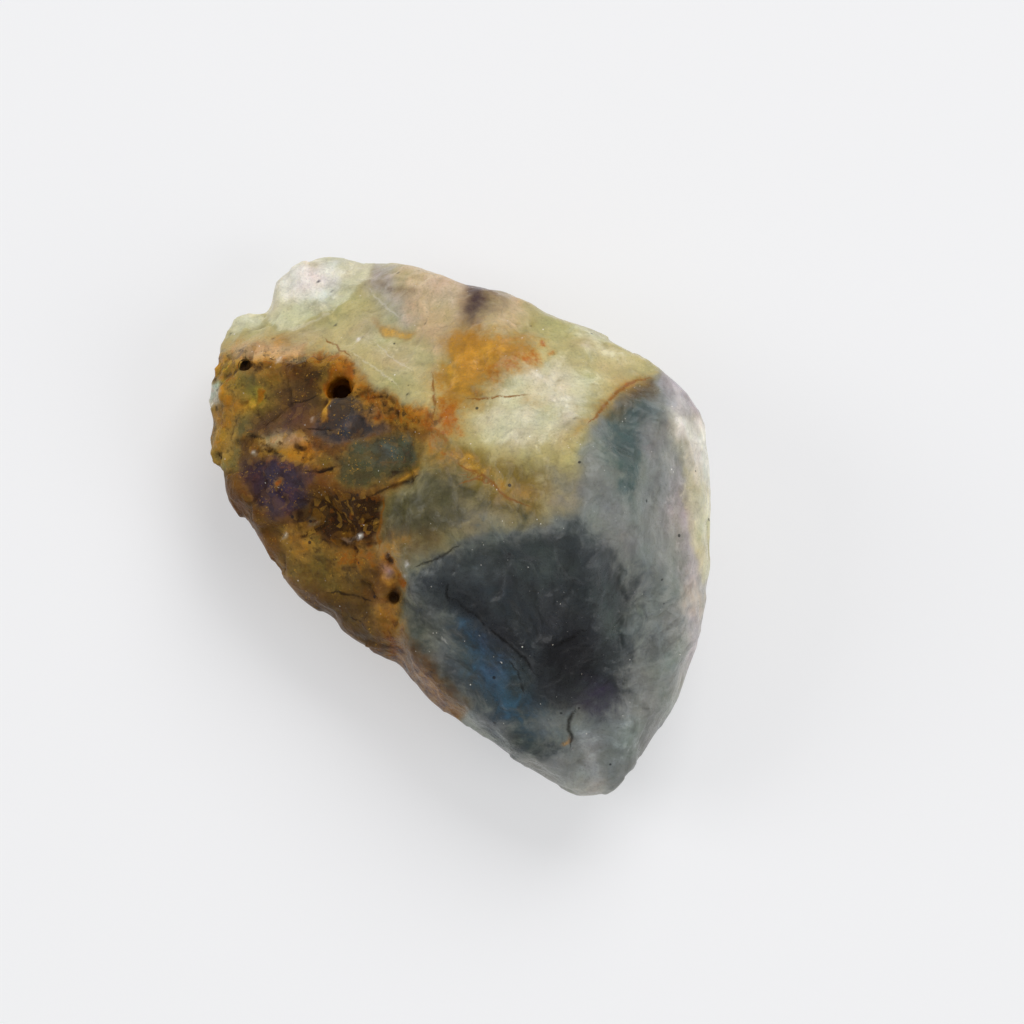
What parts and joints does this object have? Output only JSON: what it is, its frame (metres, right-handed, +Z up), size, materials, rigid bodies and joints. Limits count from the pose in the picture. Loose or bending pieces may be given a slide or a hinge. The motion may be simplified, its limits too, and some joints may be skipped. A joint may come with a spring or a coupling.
{
  "type": "rough fluorite",
  "caption": "Rough lump of fluorite with pale lobes behind, a pitted rust-stained end and a blue-grey pointed end, resting on a flat face",
  "frame": {"origin": "on the flat face that the stone rests on, under the middle of its bounding box in plan", "axes": "+Z up from the resting face, +Y along the stone from the blue-grey tip to the pale lobes, +X from the rusty end to the pale right rim"},
  "size_m": [0.0382, 0.042, 0.0202],
  "materials": {
    "fluorite": "waxy"
  },
  "bodies": {
    "root": {"fluorite": "fluorite"}
  },
  "joints": []
}
